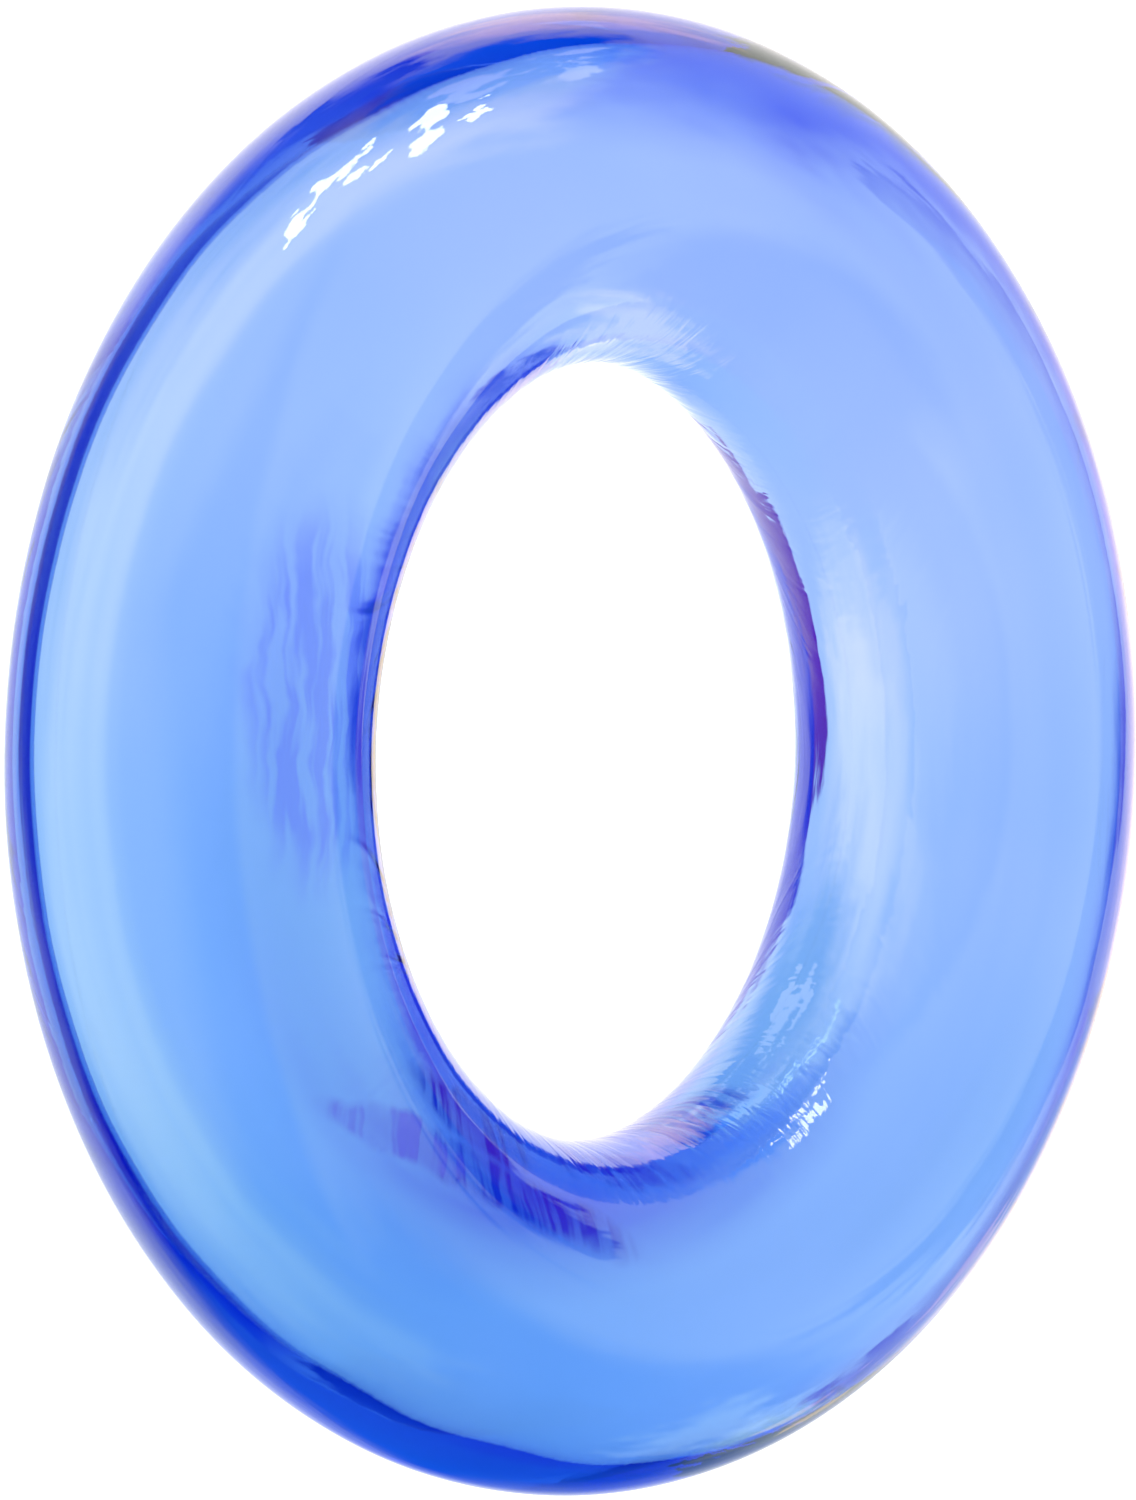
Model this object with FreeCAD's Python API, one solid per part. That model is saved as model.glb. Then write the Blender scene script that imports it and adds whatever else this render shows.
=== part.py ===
"""Juggling ring: a solid clear acrylic ring of round section.

The ring is two turned halves, cemented face to face on the mid-plane and polished as one. The front
half carries a ring-shaped tongue, the rear half has the groove it drops into, and a thin film of
clear cement fills the joint between them.

Frame: origin at the centre of the ring, on its mid-plane. +Z is the ring's axis, so the ring lies
flat and rests on the circle at its lowest point. The front half is the +Z one.
"""
import FreeCAD, Part
import math
import os

# Driving dimensions, in millimetres
outer_diameter = 120.0       # over the whole ring
section_diameter = 28.8      # thickness of the round bar, which a hand closes round
cement_thickness = 0.15      # film of cement between the halves, the same all over the joint
tongue_width = 9.0           # width of the locating tongue, measured along the ring's radius
tongue_depth = 3.0           # how far the tongue reaches past the mid-plane
tongue_corner = 0.8          # radius of the tongue's two lower corners

section_radius = section_diameter / 2
centre_radius = (outer_diameter - section_diameter) / 2
hole_diameter = outer_diameter - 2 * section_diameter

AXIS_POINT = FreeCAD.Vector(0, 0, 0)
AXIS_UP = FreeCAD.Vector(0, 0, 1)
FULL_TURN = 360.0
VOLUME_TOLERANCE = 1.0       # mm3


def at(offset, height):
    """A point of the section, from its distance outside the bar's centre line and its height."""
    return FreeCAD.Vector(centre_radius + offset, 0, height)


def bar_section():
    """The round section of the bar, as one flat face in the XZ plane."""
    edge = Part.Circle(at(0, 0), FreeCAD.Vector(0, -1, 0), section_radius).toShape()
    return Part.Face(Part.Wire(edge))


def slab(low, high):
    """A rectangle wider than the bar, between two heights."""
    reach = section_diameter
    corners = [at(-reach, low), at(reach, low), at(reach, high), at(-reach, high)]
    return Part.Face(Part.makePolygon(corners + corners[:1]))


def tongue_section(grow):
    """The tongue's section, grown all round by grow: as turned with 0, or the groove with the film."""
    half = tongue_width / 2 + grow
    bottom = -(tongue_depth + grow)
    corner = tongue_corner + grow
    top = tongue_depth
    diagonal = corner * (1 - math.cos(math.radians(45)))
    edges = [
        Part.LineSegment(at(-half, top), at(-half, bottom + corner)).toShape(),
        Part.Arc(at(-half, bottom + corner), at(-half + diagonal, bottom + diagonal),
                 at(-half + corner, bottom)).toShape(),
        Part.LineSegment(at(-half + corner, bottom), at(half - corner, bottom)).toShape(),
        Part.Arc(at(half - corner, bottom), at(half - diagonal, bottom + diagonal),
                 at(half, bottom + corner)).toShape(),
        Part.LineSegment(at(half, bottom + corner), at(half, top)).toShape(),
        Part.LineSegment(at(half, top), at(-half, top)).toShape(),
    ]
    return Part.Face(Part.Wire(edges))


def front_section():
    """Upper half of the bar, with the tongue standing out of its flat face."""
    half_bar = bar_section().common(slab(cement_thickness / 2, section_diameter))
    return half_bar.fuse(tongue_section(0))


def rear_section():
    """Lower half of the bar, with the groove cut into its flat face."""
    half_bar = bar_section().common(slab(-section_diameter, -cement_thickness / 2))
    return half_bar.cut(tongue_section(cement_thickness))


def cement_section():
    """What the two halves leave of the round bar: the film of cement, outer edge to inner edge."""
    return bar_section().cut(front_section()).cut(rear_section())


def turned(section):
    """Turn a section about the ring's axis into one solid."""
    first, *others = [face.revolve(AXIS_POINT, AXIS_UP, FULL_TURN) for face in section.Faces]
    whole_turn = first.fuse(others).removeSplitter() if others else first
    solid = whole_turn.Solids[0]
    if solid.Volume < 0:
        solid.reverse()
    return solid


pieces = {
    "front_half": turned(front_section()),
    "rear_half": turned(rear_section()),
    "cement_bond": turned(cement_section()),
}

os.makedirs("parts", exist_ok=True)
for name, solid in pieces.items():
    if not solid.isValid() or len(solid.Solids) != 1:
        raise ValueError(name + " is not one valid solid")
    solid.exportStep("parts/" + name + ".step")
    box = solid.optimalBoundingBox()
    print("%-12s %9.1f mm3   z %7.3f to %7.3f mm" % (name, solid.Volume, box.ZMin, box.ZMax))

whole = 2 * math.pi ** 2 * centre_radius * section_radius ** 2
total = sum(solid.Volume for solid in pieces.values())
print("ring %.1f mm3, pieces together %.1f mm3, hole %.1f mm across" % (whole, total, hole_diameter))
if abs(whole - total) > VOLUME_TOLERANCE:
    raise ValueError("the pieces do not fill the round bar exactly")
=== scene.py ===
# %% [markdown]
# # A clear blue acrylic ring
# The real object is a juggler's ring of blue-tinted acrylic, as thick and round as a bar that closes
# on itself. It is turned on a lathe as two halves, which are cemented on the mid-plane and polished.
# The round bar works as a lens, so the rim holds longer light paths and goes a deeper blue than the
# middle of the bar.
#
# This notebook loads the finished engineering model, builds a finer skin for each of its pieces, and
# lights them with a painted sky of coloured cards. That sky isn't plain studio light, and much of it
# was made by a fitting program for this one camera angle. The studio's own cell below says how far.

# %% Load the engineering model
import math
import bpy
from mathutils import Matrix, Vector


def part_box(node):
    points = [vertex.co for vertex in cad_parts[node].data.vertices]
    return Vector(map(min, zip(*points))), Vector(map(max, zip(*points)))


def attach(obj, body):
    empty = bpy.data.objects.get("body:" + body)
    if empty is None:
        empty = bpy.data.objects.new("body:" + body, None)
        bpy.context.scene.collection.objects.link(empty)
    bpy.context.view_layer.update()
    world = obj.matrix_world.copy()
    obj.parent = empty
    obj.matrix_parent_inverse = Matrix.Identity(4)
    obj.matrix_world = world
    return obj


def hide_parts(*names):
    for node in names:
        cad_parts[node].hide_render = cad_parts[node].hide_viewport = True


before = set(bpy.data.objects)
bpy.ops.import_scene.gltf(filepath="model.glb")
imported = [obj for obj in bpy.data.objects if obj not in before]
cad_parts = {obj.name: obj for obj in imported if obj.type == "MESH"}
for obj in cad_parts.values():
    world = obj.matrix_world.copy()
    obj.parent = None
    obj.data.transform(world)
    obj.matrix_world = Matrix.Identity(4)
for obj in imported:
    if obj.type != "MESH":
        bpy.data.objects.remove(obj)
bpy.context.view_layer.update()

MM = 0.001

# %% [markdown]
# ## Sizes
# The engineering model is the authority on size, so the sizes are read from its boxes. Only the
# tongue's width and corner can't be read from a box, and they repeat the drawing.

# %% Read the ring's sizes
outer_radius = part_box("front_half")[1][0]
front_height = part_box("front_half")[1][2]
rear_height = -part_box("rear_half")[0][2]
bar_radius = min(front_height, rear_height)
centre_radius = outer_radius - bar_radius
film = 2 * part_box("cement_bond")[1][2]
tongue_depth = -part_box("front_half")[0][2]
tongue_width = 9.0 * MM
tongue_corner = 0.8 * MM
print("bar radius %.3f mm, centre radius %.3f mm, film %.3f mm, tongue %.2f mm deep"
      % (bar_radius / MM, centre_radius / MM, film / MM, tongue_depth / MM))

# %% [markdown]
# ## Camera
# The ring lies flat. The camera looks down on it at about forty-three degrees and is turned on its
# side, so the ring stands tall in the frame. It stands seventeen times the radius of the bar's centre
# circle away, with a long lens, which keeps the ring's far side almost as wide as its near side. The
# two aims shift the ring a little in the frame.

# %% Place the camera
CAMERA_ELEVATION = math.radians(43.26)
CAMERA_ROLL = math.radians(91.73)
CAMERA_DISTANCE = 17.04 * centre_radius
LENS_MM = 231.4
SENSOR_MM = 36
NEAREST, FARTHEST = 0.01, 50
AIM_SIDE = 0.0465 * centre_radius
AIM_UP = 0.0031 * centre_radius

look = Vector((0, math.cos(CAMERA_ELEVATION), -math.sin(CAMERA_ELEVATION)))
level_right = Vector((1, 0, 0))
level_up = level_right.cross(look)
view_right = level_right * math.cos(CAMERA_ROLL) + level_up * math.sin(CAMERA_ROLL)
view_up = view_right.cross(look)

camera_data = bpy.data.cameras.new("camera")
camera_data.lens = LENS_MM
camera_data.sensor_width = SENSOR_MM
camera_data.clip_start = NEAREST
camera_data.clip_end = FARTHEST
camera = bpy.data.objects.new("camera", camera_data)
bpy.context.scene.collection.objects.link(camera)
eye = -look * CAMERA_DISTANCE - view_right * AIM_SIDE + view_up * AIM_UP
camera.matrix_world = Matrix((
    (view_right.x, view_up.x, -look.x, eye.x),
    (view_right.y, view_up.y, -look.y, eye.y),
    (view_right.z, view_up.z, -look.z, eye.z),
    (0, 0, 0, 1)))
bpy.context.scene.camera = camera
print("camera at", [round(value, 3) for value in eye])

# %% [markdown]
# ## Two small helpers
# Colours are written as sRGB hex, the way a colour picker shows them, and one function turns them to
# the linear values that the renderer works in. The other helper adds a node, sets its sockets and
# links it, so that each material below reads as a short recipe.

# %% Helpers for colours and nodes
def linear(hex_colour):
    """Linear RGBA from an sRGB hex colour such as "#25B3FC"."""
    values = [int(hex_colour[i:i + 2], 16) / 255 for i in (1, 3, 5)]
    return [v / 12.92 if v <= 0.04045 else ((v + 0.055) / 1.055) ** 2.4 for v in values] + [1.0]


def add(tree, kind, sockets=None, **settings):
    """Add one node: settings are its properties, sockets its inputs (a value, or a socket to link)."""
    node = tree.nodes.new(kind)
    for name, value in settings.items():
        setattr(node, name, value)
    for name, value in (sockets or {}).items():
        if isinstance(value, bpy.types.NodeSocket):
            tree.links.new(value, node.inputs[name])
        else:
            node.inputs[name].default_value = value
    return node


# %% [markdown]
# ## The section of each piece
# A turned piece is one closed outline carried round the axis. A point of the outline is its distance
# outside the bar's centre line, then its height. Each piece has polished stretches, which are the
# surface of the bar, and joint stretches, which lie inside it against the cement.
#
# The joint stretches stop a few micrometres short of each other. Two surfaces at exactly one place
# would leave the renderer to guess which comes first.

# %% Outline helpers
BAR_STEPS = 112
CORNER_STEPS = 4
CLEARANCE = 0.004 * MM
level = film / 2


def arc(centre, radius, start, end, steps):
    """Points along an arc, angles in radians, both ends included."""
    turn = [start + (end - start) * i / steps for i in range(steps + 1)]
    return [(centre[0] + radius * math.cos(a), centre[1] + radius * math.sin(a)) for a in turn]


def tongue_line(grow, shoulder):
    """The step of the joint, inner side to outer side: down, across the bottom and up again."""
    half = tongue_width / 2 + grow
    bottom = -(tongue_depth + grow)
    corner = tongue_corner + grow
    inner = arc((-half + corner, bottom + corner), corner, math.pi, 1.5 * math.pi, CORNER_STEPS)
    outer = arc((half - corner, bottom + corner), corner, 1.5 * math.pi, 2 * math.pi, CORNER_STEPS)
    return [(-half, shoulder)] + inner + outer + [(half, shoulder)]


# %% Draw the three outlines
def front_outline():
    """Over the bar from outside to inside, then back along the tongue."""
    rim = math.asin((level + CLEARANCE) / bar_radius)
    return [("polished", arc((0, 0), bar_radius, rim, math.pi - rim, BAR_STEPS)),
            ("joint", tongue_line(-CLEARANCE, level + CLEARANCE))]


def rear_outline():
    """Under the bar from inside to outside, then back along the groove."""
    rim = math.asin((level + CLEARANCE) / bar_radius)
    return [("polished", arc((0, 0), bar_radius, math.pi + rim, 2 * math.pi - rim, BAR_STEPS)),
            ("joint", tongue_line(film + CLEARANCE, -level - CLEARANCE)[::-1])]


def cement_outline():
    """The film: its outer edge, the face under the tongue, its inner edge, the face in the groove."""
    rim = math.asin(level / bar_radius)
    return [("polished", arc((0, 0), bar_radius, -rim, rim, 2)),
            ("joint", tongue_line(0, level)[::-1]),
            ("polished", arc((0, 0), bar_radius, math.pi - rim, math.pi + rim, 2)),
            ("joint", tongue_line(film, -level))]


for title, outline in (("front", front_outline()), ("rear", rear_outline()), ("film", cement_outline())):
    print(title, "outline:", [(kind, len(points)) for kind, points in outline])

# %% [markdown]
# ## Hand polishing
# A lathe leaves a true round bar. Polishing by hand takes off a few hundredths of a millimetre more
# here than there, in patches as long as a finger is wide. Through a thick clear bar that is enough to
# bend the light, so the patches are real shape. They only ever take material off.

# %% The waviness that polishing leaves: waves around the ring, waves across the bar, starting angle
POLISH_DEPTH = 0.05 * MM
POLISH_WAVES = ((5, 2, 0.4), (9, -3, 1.9), (14, 4, 3.1), (23, -2, 5.0))


def polished_away(around, across):
    """Depth taken off at an angle around the ring and an angle across the bar."""
    waves = [math.sin(n * around + m * across + phase) for n, m, phase in POLISH_WAVES]
    return POLISH_DEPTH * (0.5 + 0.5 * sum(waves) / len(waves))


print("polished away on the outside, at +x: %.4f mm" % (polished_away(0, 0) / MM))

# %% [markdown]
# ## Turning a piece
# A screw modifier could carry the outline round, but then the polishing and the joint flag would need
# a second pass. One loop over the turns writes the points, the faces and the flag together. The flag,
# 1 on joint faces and 0 outside, is what tells the acrylic where its surface is wetted by cement.

# %% Turn an outline into a closed mesh
TURN_STEPS = 384
SHARP_ANGLE = math.radians(30)


def turn_piece(name, outline):
    """A closed mesh from an outline, with the joint flag stored on its faces."""
    ring = []
    for kind, points in outline:
        ring += [(x, z, kind) for x, z in points]
    count = len(ring)
    points = []
    for turn in range(TURN_STEPS):
        around = 2 * math.pi * turn / TURN_STEPS
        for x, z, kind in ring:
            keep = 1.0
            if kind == "polished":
                keep = 1 - polished_away(around, math.atan2(z, x)) / bar_radius
            radius = centre_radius + x * keep
            points.append((radius * math.cos(around), radius * math.sin(around), z * keep))
    faces = []
    flags = []
    for turn in range(TURN_STEPS):
        here = turn * count
        there = (turn + 1) % TURN_STEPS * count
        for step in range(count):
            after = (step + 1) % count
            faces.append((here + step, there + step, there + after, here + after))
            both_polished = ring[step][2] == "polished" == ring[after][2]
            flags.append(0.0 if both_polished else 1.0)
    mesh = bpy.data.meshes.new(name)
    mesh.from_pydata(points, [], faces)
    mesh.attributes.new("joint", "FLOAT", "FACE").data.foreach_set("value", flags)
    mesh.polygons.foreach_set("use_smooth", [True] * len(faces))
    mesh.set_sharp_from_angle(angle=SHARP_ANGLE)
    piece = bpy.data.objects.new(name, mesh)
    bpy.context.scene.collection.objects.link(piece)
    print("%s: %d faces, %d of them in the joint" % (name, len(faces), int(sum(flags))))
    return piece


front = turn_piece("front_half_polished", front_outline())
rear = turn_piece("rear_half_polished", rear_outline())
cement = turn_piece("cement_film", cement_outline())

# %% [markdown]
# ## Flow lines
# Cast acrylic sets in faint parallel layers. Turning and polishing cut through them and leave shallow
# ripples, straight and side by side, that all run one way across the ring. A mop polishes the outside
# almost flat but can't reach well into the bore, so the ripples stay deeper there.
#
# They are far too fine to mesh, so they are a bump on the surface, made from noise stretched along x.
# They start part of the way in from the bar's centre line and are deepest just short of the bore.

# %% Ripples left by the flow lines
RIPPLE_PITCH = 1.5 * MM
RIPPLE_LENGTH = 11 * MM
RIPPLE_HEIGHT = 5 * MM
BORE_RIPPLE_DEPTH = 0.12 * MM
OUTSIDE_RIPPLE_DEPTH = 0.0016 * MM
RIPPLES_START = centre_radius - 0.5 * bar_radius
RIPPLES_DEEPEST = centre_radius - 0.95 * bar_radius


def flow_line_ripples(tree, place):
    """Height of the ripples in metres, from the place on the ring."""
    stretched = add(tree, "ShaderNodeVectorMath", {
        0: place, 1: (1 / RIPPLE_LENGTH, 1 / RIPPLE_PITCH, 1 / RIPPLE_HEIGHT)}, operation="MULTIPLY")
    ripples = add(tree, "ShaderNodeTexNoise", {
        "Vector": stretched.outputs[0], "Scale": 1.0, "Detail": 2.0, "Distortion": 0.5})
    flat = add(tree, "ShaderNodeVectorMath", {0: place, 1: (1, 1, 0)}, operation="MULTIPLY")
    reach = add(tree, "ShaderNodeVectorMath", {0: flat.outputs[0]}, operation="LENGTH")
    depth = add(tree, "ShaderNodeMapRange", {
        "Value": reach.outputs["Value"], "From Min": RIPPLES_START, "From Max": RIPPLES_DEEPEST,
        "To Min": OUTSIDE_RIPPLE_DEPTH, "To Max": BORE_RIPPLE_DEPTH}, interpolation_type="SMOOTHSTEP")
    return add(tree, "ShaderNodeMath", {0: ripples.outputs["Fac"], 1: depth.outputs["Result"]},
               operation="MULTIPLY").outputs[0]


print("ripples start %.1f mm from the axis and are deepest at %.1f mm"
      % (RIPPLES_START / MM, RIPPLES_DEEPEST / MM))

# %% [markdown]
# ## The uneven part of the dye
# Dye doesn't spread evenly through a casting. One end of this ring is a little greener and darker than
# the other, with slow swirls between. A volume that varies is slow to render, so this part of the tint
# is on the surface, which light crosses once on its way in and once on its way out. The cyan came out
# of the same fitting program as the cards below, and the direction was picked for it.

# %% A tint that drifts from end to end
PALE_END = "#FFFFFF"
CYAN_END = "#8FD4E7"
TOWARDS_CYAN = (0.92, -0.39, 0)
SWIRL_SIZE = 45 * MM
SWIRL_SHARE = 0.5


def drifting_tint(tree, place):
    """No tint at one end of the ring, cyan at the other, and swirls of both between."""
    swirl = add(tree, "ShaderNodeTexNoise", {
        "Vector": place, "Scale": 1 / SWIRL_SIZE, "Detail": 1.0, "Distortion": 1.2})
    swirled = add(tree, "ShaderNodeMath", {
        0: swirl.outputs["Fac"], 1: SWIRL_SHARE, 2: 0.5 - SWIRL_SHARE / 2}, operation="MULTIPLY_ADD")
    drift = add(tree, "ShaderNodeVectorMath", {
        0: place, 1: [value / (2 * outer_radius) for value in TOWARDS_CYAN]}, operation="DOT_PRODUCT")
    share = add(tree, "ShaderNodeMath", {0: swirled.outputs[0], 1: drift.outputs["Value"]},
                operation="ADD", use_clamp=True)
    return add(tree, "ShaderNodeMix", {0: share.outputs[0], 6: linear(PALE_END), 7: linear(CYAN_END)},
               data_type="RGBA").outputs[2]


print("swirls are %.0f mm across, on a ring of %.0f mm" % (SWIRL_SIZE / MM, 2 * outer_radius / MM))

# %% [markdown]
# ## Painted streaks
# There are dark wavy marks beside the bore. They are the dark edge of the backdrop, seen bent through
# the bar, so each one here is painted refraction: a long patch of darker surface tint on the front
# face, waved by noise and broken into lines that run along x. In plain light they look painted on.
# Their centres were found with a ray tracer for this camera angle and typed in, so they don't follow
# from the ring's sizes.

# %% Painted streaks, dark refraction painted on the front face: centre in mm, heading in degrees, half length and half width in mm, colour
PAINTED_STREAKS = (
    ((28.5, -26.5, 13), 68, 9.5, 2.0, "#0C20A8"),
    ((34, -23, 13.8), 71, 17.0, 2.2, "#1430B8"),
    ((30, -35, 14.2), 71, 9.0, 1.6, "#6A58D0"),
    ((33, -4, 9.5), 86, 10.0, 1.6, "#1040CC"),
    ((29.5, 9.5, 3), 110, 7.0, 1.0, "#2030B0"),
    ((-3, -45.5, 14), 0, 15.0, 7.5, "#7C94EE"))
PAINTED_STREAK_THICKNESS = 7 * MM
PAINTED_STREAK_CORE, PAINTED_STREAK_EDGE = 0.7, 1.15
PAINTED_STREAK_WAVE = 4 * MM
STREAK_LINE_PITCH = 1.5 * MM
STREAK_LINE_LENGTH = 12 * MM
STREAK_LINE_THINNEST = 0.4
STREAK_LINES_FADE_IN = (0.40, 0.58)


def painted_streak(tree, below, place, streak_lines, centre, heading, length, width, colour):
    """Lay one painted streak, a patch of darker tint, over the tint so far."""
    inside = add(tree, "ShaderNodeMapping", {
        "Vector": place, "Location": [value * MM for value in centre],
        "Rotation": (0, 0, math.radians(heading)),
        "Scale": (length * MM, width * MM, PAINTED_STREAK_THICKNESS)}, vector_type="TEXTURE")
    reach = add(tree, "ShaderNodeVectorMath", {0: inside.outputs["Vector"]}, operation="LENGTH")
    patch = add(tree, "ShaderNodeMapRange", {
        "Value": reach.outputs["Value"], "From Min": PAINTED_STREAK_EDGE, "From Max": PAINTED_STREAK_CORE},
        interpolation_type="SMOOTHSTEP")
    cover = add(tree, "ShaderNodeMath", {0: patch.outputs["Result"], 1: streak_lines}, operation="MULTIPLY")
    return add(tree, "ShaderNodeMix", {0: cover.outputs[0], 6: below, 7: linear(colour)},
               data_type="RGBA").outputs[2]


def with_painted_streaks(tree, tint, place):
    """The tint with all its painted streaks, the backdrop's dark edge painted where it shows through the
    bar.
    """
    wave = add(tree, "ShaderNodeTexNoise", {
        "Vector": place, "Scale": 1 / (2 * PAINTED_STREAK_WAVE), "Detail": 3.0})
    shift = add(tree, "ShaderNodeVectorMath", {
        0: wave.outputs["Color"], 1: (PAINTED_STREAK_WAVE,) * 3, 2: (-PAINTED_STREAK_WAVE / 2,) * 3},
        operation="MULTIPLY_ADD")
    waved = add(tree, "ShaderNodeVectorMath", {0: place, 1: shift.outputs[0]}).outputs[0]
    stretched = add(tree, "ShaderNodeVectorMath", {
        0: waved, 1: (1 / STREAK_LINE_LENGTH, 1 / STREAK_LINE_PITCH, 0)}, operation="MULTIPLY")
    noise = add(tree, "ShaderNodeTexNoise", {"Vector": stretched.outputs[0], "Scale": 1.0, "Detail": 2.0})
    streak_lines = add(tree, "ShaderNodeMapRange", {
        "Value": noise.outputs["Fac"], "From Min": STREAK_LINES_FADE_IN[0], "From Max": STREAK_LINES_FADE_IN[1],
        "To Min": STREAK_LINE_THINNEST}, interpolation_type="SMOOTHSTEP")
    for centre, heading, length, width, colour in PAINTED_STREAKS:
        tint = painted_streak(tree, tint, waved, streak_lines.outputs["Result"], centre, heading, length, width, colour)
    return tint


print("painted_streaks: %d, the longest %.0f mm" % (len(PAINTED_STREAKS), max(2 * painted_streak_row[2] for painted_streak_row in PAINTED_STREAKS)))

# %% [markdown]
# ## Cast acrylic, tinted blue and polished
# Acrylic, or PMMA, has an index of refraction near 1.49 and no colour of its own. Most of the dye
# belongs in the volume: a longer path through the bar is a deeper blue. That makes the rim somewhat
# deeper than the middle. The strong deep blue bands at the rims come from the sky's blue cards.
#
# Where cement of the same index wets the surface there is no optical step at all. The joint flag turns
# the index down to 1 there, so light crosses the joint as if it were not there, and takes no surface
# tint. Every face is smooth, with the sharp corners marked as sharp edges. The renderer counts a flat
# face and a smooth one as two materials, and a piece with both would dye the light twice over.
#
# In a perfect ring some light would go round for ever, and the renderer shows it as black patches. A
# real ring has fine scratches that let it out, so the index also drops to 1 after a set number of
# bounces. Each crossing of a joint face counts as one of them.

# %% Make the blue acrylic
ACRYLIC_INDEX = 1.49
DYE_COLOUR = "#3C99EF"
DYE_DENSITY = 44.0
BOUNCES_BEFORE_LEAK = 20.5


def clear_acrylic(name):
    """Polished blue acrylic: a smooth clear shell, dyed right through, with its joint made invisible."""
    material = bpy.data.materials.new(name)
    material.use_nodes = True
    tree = material.node_tree
    shell = tree.nodes["Principled BSDF"]
    output = tree.nodes["Material Output"]
    shell.inputs["Roughness"].default_value = 0.0
    shell.inputs["Transmission Weight"].default_value = 1.0
    place = add(tree, "ShaderNodeTexCoord").outputs["Object"]
    joint = add(tree, "ShaderNodeAttribute", attribute_name="joint").outputs["Fac"]
    # The base colour holds the drifting tint and the painted streaks: painted refraction of the backdrop's
    # dark edge.
    tint = with_painted_streaks(tree, drifting_tint(tree, place), place)
    outside_tint = add(tree, "ShaderNodeMix", {0: joint, 6: tint, 7: linear(PALE_END)}, data_type="RGBA")
    tree.links.new(outside_tint.outputs[2], shell.inputs["Base Color"])
    path = add(tree, "ShaderNodeLightPath")
    leaks = add(tree, "ShaderNodeMath", {0: path.outputs["Ray Depth"], 1: BOUNCES_BEFORE_LEAK},
                operation="GREATER_THAN")
    open_face = add(tree, "ShaderNodeMath", {0: joint, 1: leaks.outputs[0]}, operation="MAXIMUM")
    index = add(tree, "ShaderNodeMapRange", {
        "Value": open_face.outputs[0], "To Min": ACRYLIC_INDEX, "To Max": 1.0})
    tree.links.new(index.outputs["Result"], shell.inputs["IOR"])
    relief = add(tree, "ShaderNodeBump", {"Height": flow_line_ripples(tree, place), "Distance": 1.0})
    tree.links.new(relief.outputs["Normal"], shell.inputs["Normal"])
    dye = add(tree, "ShaderNodeVolumeAbsorption", {"Color": linear(DYE_COLOUR), "Density": DYE_DENSITY})
    tree.links.new(dye.outputs["Volume"], output.inputs["Volume"])
    return material


# cast_acrylic_blue_polished gives the eye a clear blue bar, somewhat deeper at the rim, with painted dark
# streaks beside the bore.
acrylic = clear_acrylic("cast_acrylic_blue_polished")
front.data.materials.append(acrylic)
rear.data.materials.append(acrylic)
# acrylic_cement_blue gives the eye nothing at all: it is tinted to match, so the joint doesn't show.
cement.data.materials.append(clear_acrylic("acrylic_cement_blue"))
print("materials:", [piece.data.materials[0].name for piece in (front, rear, cement)])

# %% [markdown]
# ## Putting the pieces in the model
# The ring has no moving parts, so all three pieces ride its one body. Each one stands in for the
# engineering piece of the same shape.

# %% Put the pieces in the model
for piece, node, slot in ((front, "front_half", "blue_acrylic"), (rear, "rear_half", "blue_acrylic"),
                          (cement, "cement_bond", "clear_cement")):
    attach(piece, "root")
    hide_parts(node)
    print(piece.name, "stands for", node)

# %% [markdown]
# ## The studio
# Clear objects show what is behind and around them. This sky has a bright field behind the ring, a
# surround of deep blue, and soft round cards of many colours laid over them, each given by its
# direction from the ring.
#
# It isn't plain soft light, and it isn't a lighting plan that anyone would hang. A least-squares
# program chose cards for this one camera angle. Nine rows of the table keep the place, radius and soft
# edge that it gave, five were moved from its values, and five were added. The colours and strengths
# were changed afterwards. From other sides the cards fall on other stretches of the ring.
#
# For plain light, make both tables empty and the surround white. The ring then is a flatter, greyer
# blue, which says more about the acrylic.
#
# The direction is shaken a little by noise before it meets the cards, so no edge is a perfect circle
# and the highlights break up.

# %% Start the sky
CREASE_SIZE = 9.0
CREASE_DEPTH = 0.08

world = bpy.data.worlds.new("studio")
bpy.context.scene.world = world
world.use_nodes = True
sky = world.node_tree
steady = add(sky, "ShaderNodeTexCoord").outputs["Generated"]
creases = add(sky, "ShaderNodeTexNoise", {"Vector": steady, "Scale": CREASE_SIZE, "Detail": 4.0})
shake = add(sky, "ShaderNodeVectorMath", {
    0: creases.outputs["Color"], 1: (CREASE_DEPTH,) * 3, 2: (-CREASE_DEPTH / 2,) * 3},
    operation="MULTIPLY_ADD")
direction = add(sky, "ShaderNodeVectorMath", {0: steady, 1: shake.outputs[0]}).outputs[0]


def seen(sideways, upward):
    """A direction from the ring, from degrees right of and above the line of sight, through the ring."""
    tilt = math.radians(math.hypot(sideways, upward))
    swing = math.atan2(upward, sideways)
    flat = view_right * math.cos(swing) + view_up * math.sin(swing)
    return look * math.cos(tilt) + flat * math.sin(tilt)


def card(below, where, radius, softness, colour, strength):
    """Lay one soft round card over the sky so far: where it is, its radius and soft edge in degrees."""
    facing = add(sky, "ShaderNodeVectorMath", {0: direction, 1: seen(*where)}, operation="DOT_PRODUCT")
    cover = add(sky, "ShaderNodeMapRange", {
        "Value": facing.outputs["Value"], "From Min": math.cos(math.radians(radius + softness / 2)),
        "From Max": math.cos(math.radians(max(radius - softness / 2, 0)))}, interpolation_type="SMOOTHSTEP")
    tint = [value * strength for value in linear(colour)[:3]] + [1.0]
    return add(sky, "ShaderNodeMix", {0: cover.outputs["Result"], 6: below, 7: tint},
               data_type="RGBA").outputs[2]


print("line of sight:", [round(value, 3) for value in seen(0, 0)])

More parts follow.
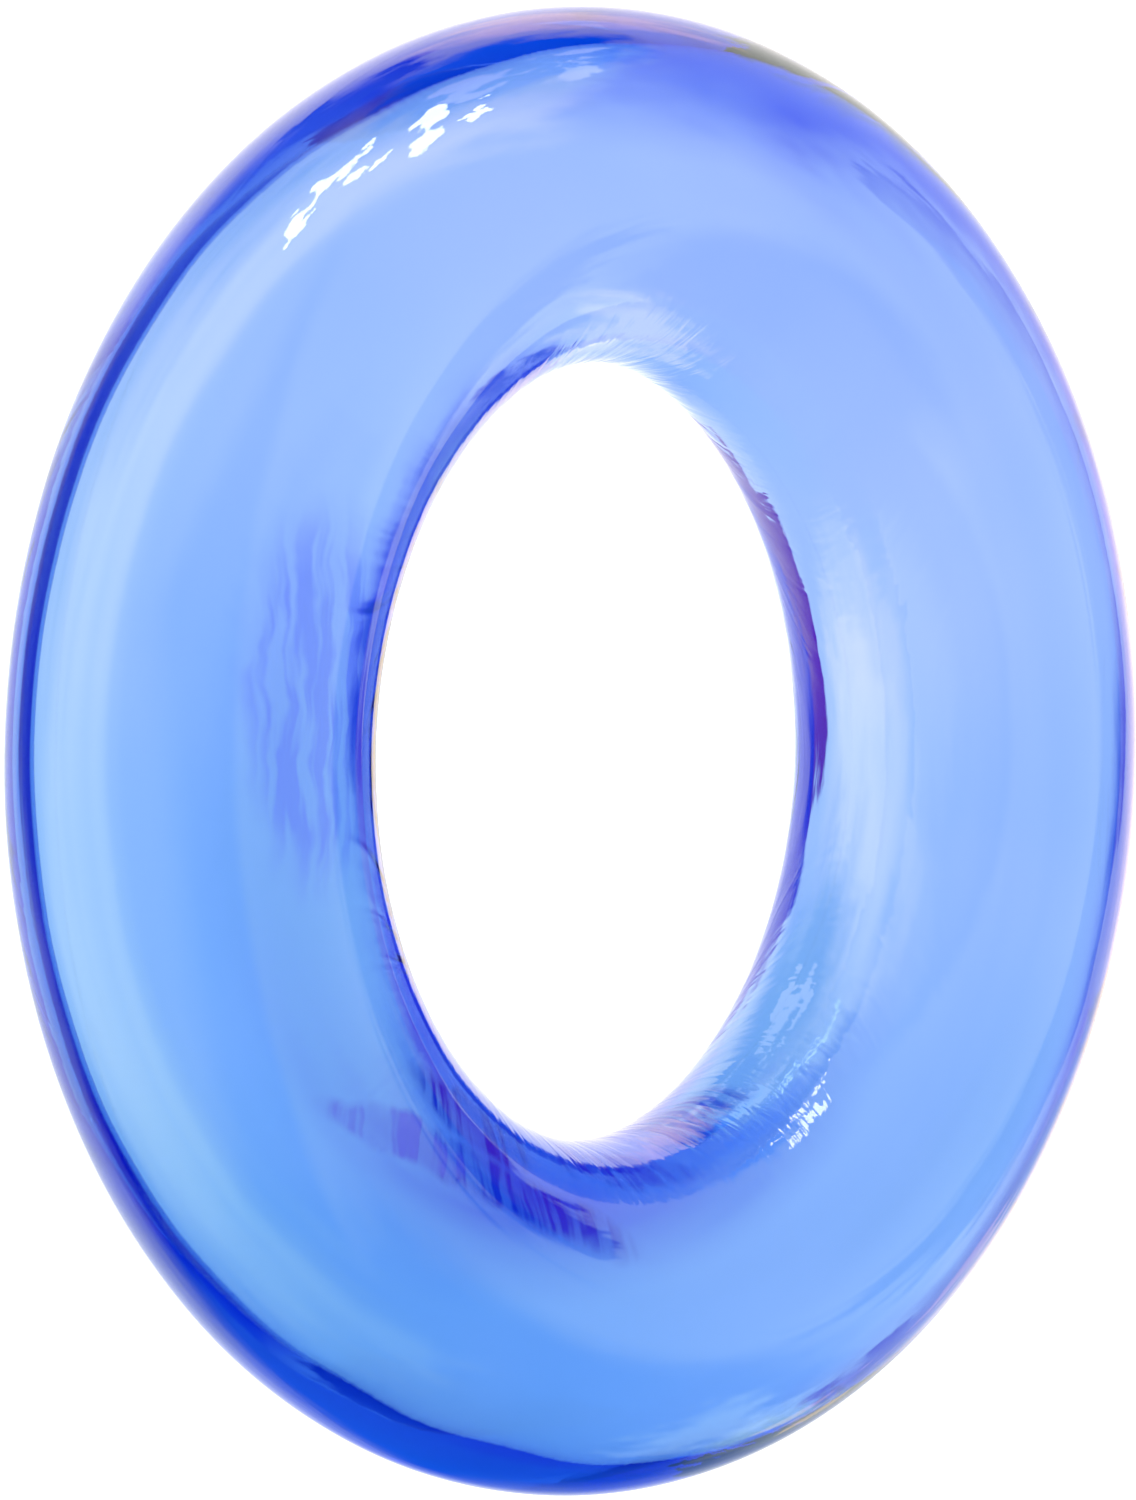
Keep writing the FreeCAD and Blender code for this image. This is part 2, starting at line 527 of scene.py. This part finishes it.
# %% [markdown]
# ## Cards and lamps
# A later card covers an earlier one. The first four stand beside and behind the camera, where the
# ring's reflections look. The next two are the bright field. The others each colour one stretch of the
# ring: blue and violet ones draw the dark crescents and bands near the rims, pale and warm ones lift
# the middle of the bar. The pale ones are brighter than white, up to 2.4 times, to make up for a dye
# that is stronger than plain light would need.
#
# Six small lamps stand in two groups, well above the line of sight. They give the eye the broken white
# streaks that say the surface is hard and polished.

# %% Hang the cards: degrees right and up, radius and soft edge in degrees, colour, strength
SURROUND = "#0C2EFF"
CARDS = (
    ((0, 180), 70, 50, "#8C90FF", 1.6),
    ((-113, -47), 44, 28, "#FFFFFF", 1.5),
    ((28, -79), 39, 21, "#0000E7", 1.0),
    ((-57, 92), 43, 17, "#FFFFFF", 1.5),
    ((71, 10), 79, 9, "#F2F6F0", 1.5),
    ((-14, 14), 28, 25, "#FCF9F8", 1.53),
    ((-48, 60), 22, 20, "#6088F0", 1.0),
    ((-15, 52), 8, 6, "#3058F8", 1.0),
    ((6, 37), 8, 12, "#FFE6CC", 2.4),
    ((5, -55), 28, 49, "#007CFF", 1.15),
    ((-33, -9), 21, 29, "#EFF8FF", 1.28),
    ((49, -68), 33, 16, "#0000FF", 1.04),
    ((27, -6), 9, 22, "#FFE9CF", 2.2),
    ((15, 68), 17, 7, "#0085FF", 1.8),
    ((32, -21), 11, 19, "#E4FBFF", 1.2),
    ((26, -24), 4, 4, "#FFF4E8", 1.7),
    ((-66, 8), 16, 14, "#5C80F4", 1.0),
    ((59, 8), 15, 2.5, "#A038BC", 1.0),
    ((66, -4), 14, 6, "#0410DE", 1.0))

light = add(sky, "ShaderNodeRGB").outputs["Color"]
light.default_value = linear(SURROUND)
for where, radius, softness, colour, strength in CARDS:
    light = card(light, where, radius, softness, colour, strength)

# %% Hang the lamps: degrees right and up, radius in degrees
LAMPS = (
    ((-11, 98), 1.3),
    ((-6, 95), 2.2),
    ((-1, 94), 2.0),
    ((18, 93), 1.2),
    ((23, 91), 2.4),
    ((25, 87), 1.2))
LAMP_EDGE = 4
LAMP_STRENGTH = 14
WHITE = "#FFFFFF"

for where, radius in LAMPS:
    light = card(light, where, radius, LAMP_EDGE, WHITE, LAMP_STRENGTH)
print("cards: %d, lamps: %d" % (len(CARDS), len(LAMPS)))

# %% [markdown]
# ## The backdrop
# Past the ring, the camera meets a plain white backdrop instead of the cards.

# %% Put the sky and the backdrop in the world
background = sky.nodes["Background"]
sky.links.new(light, background.inputs["Color"])
plain = add(sky, "ShaderNodeBackground", {"Color": linear(WHITE)})
path = add(sky, "ShaderNodeLightPath")
blend = add(sky, "ShaderNodeMixShader", {0: path.outputs["Is Camera Ray"], 1: background.outputs[0],
                                         2: plain.outputs[0]})
sky.links.new(blend.outputs[0], sky.nodes["World Output"].inputs["Surface"])

# %% [markdown]
# ## The table
# The floor is a light table: a sheet of opal acrylic, lit evenly from below. It is part of the bright
# field, so it shows no shadow. Some of the cards are below the horizon, where the table would cover
# them, so the table is hidden from reflected and refracted light. The ring doesn't see its floor.

# %% Lay the light table
TABLE_HALF = 3.0
table_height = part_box("rear_half")[0][2]
table_mesh = bpy.data.meshes.new("light_table")
table_mesh.from_pydata([(sx * TABLE_HALF, sy * TABLE_HALF, table_height)
                        for sx, sy in ((-1, -1), (1, -1), (1, 1), (-1, 1))], [], [(0, 1, 2, 3)])
light_table = bpy.data.objects.new("light_table", table_mesh)
bpy.context.scene.collection.objects.link(light_table)
light_table.visible_transmission = False
light_table.visible_glossy = False
print("table top at %.2f mm" % (table_height / MM))

# %% [markdown]
# ## Opal acrylic, lit from below
# Opal acrylic is milky all through and has a satin face. It gives the eye an even white with no gloss.
# Its real grain is a few hundredths of a millimetre, too fine to show, so it is drawn coarser here.

# %% Make the opal acrylic
OPAL_GRAIN = 0.8 * MM
OPAL_SHADE, OPAL_LIGHT = "#ECEFF4", "#FAFBFC"
SATIN_LEAST, SATIN_MOST = 0.5, 0.7
TABLE_GLOW = 1.0

opal = bpy.data.materials.new("opal_acrylic_lit_from_below")
opal.use_nodes = True
table_tree = opal.node_tree
sheet = table_tree.nodes["Principled BSDF"]
spot = add(table_tree, "ShaderNodeTexCoord").outputs["Object"]
grain = add(table_tree, "ShaderNodeTexNoise", {"Vector": spot, "Scale": 1 / OPAL_GRAIN, "Detail": 3.0})
milk = add(table_tree, "ShaderNodeMix", {
    0: grain.outputs["Fac"], 6: linear(OPAL_SHADE), 7: linear(OPAL_LIGHT)}, data_type="RGBA")
table_tree.links.new(milk.outputs[2], sheet.inputs["Base Color"])
satin = add(table_tree, "ShaderNodeMapRange", {
    "Value": grain.outputs["Fac"], "To Min": SATIN_LEAST, "To Max": SATIN_MOST})
table_tree.links.new(satin.outputs["Result"], sheet.inputs["Roughness"])
sheet.inputs["Emission Color"].default_value = linear(WHITE)
sheet.inputs["Emission Strength"].default_value = TABLE_GLOW
table_mesh.materials.append(opal)
print("table material:", opal.name)

# %% [markdown]
# ## Bounces
# Light turns back many times inside a thick clear bar, and each joint face counts once more. Too few
# bounces would leave black patches near the rims. The Standard view keeps the colours as picked.

# %% Let enough light through the thick bar
MOST_BOUNCES = 32
settings = bpy.context.scene.cycles
settings.max_bounces = MOST_BOUNCES
settings.transmission_bounces = MOST_BOUNCES
bpy.context.scene.view_settings.view_transform = "Standard"
print("up to %d bounces" % MOST_BOUNCES)
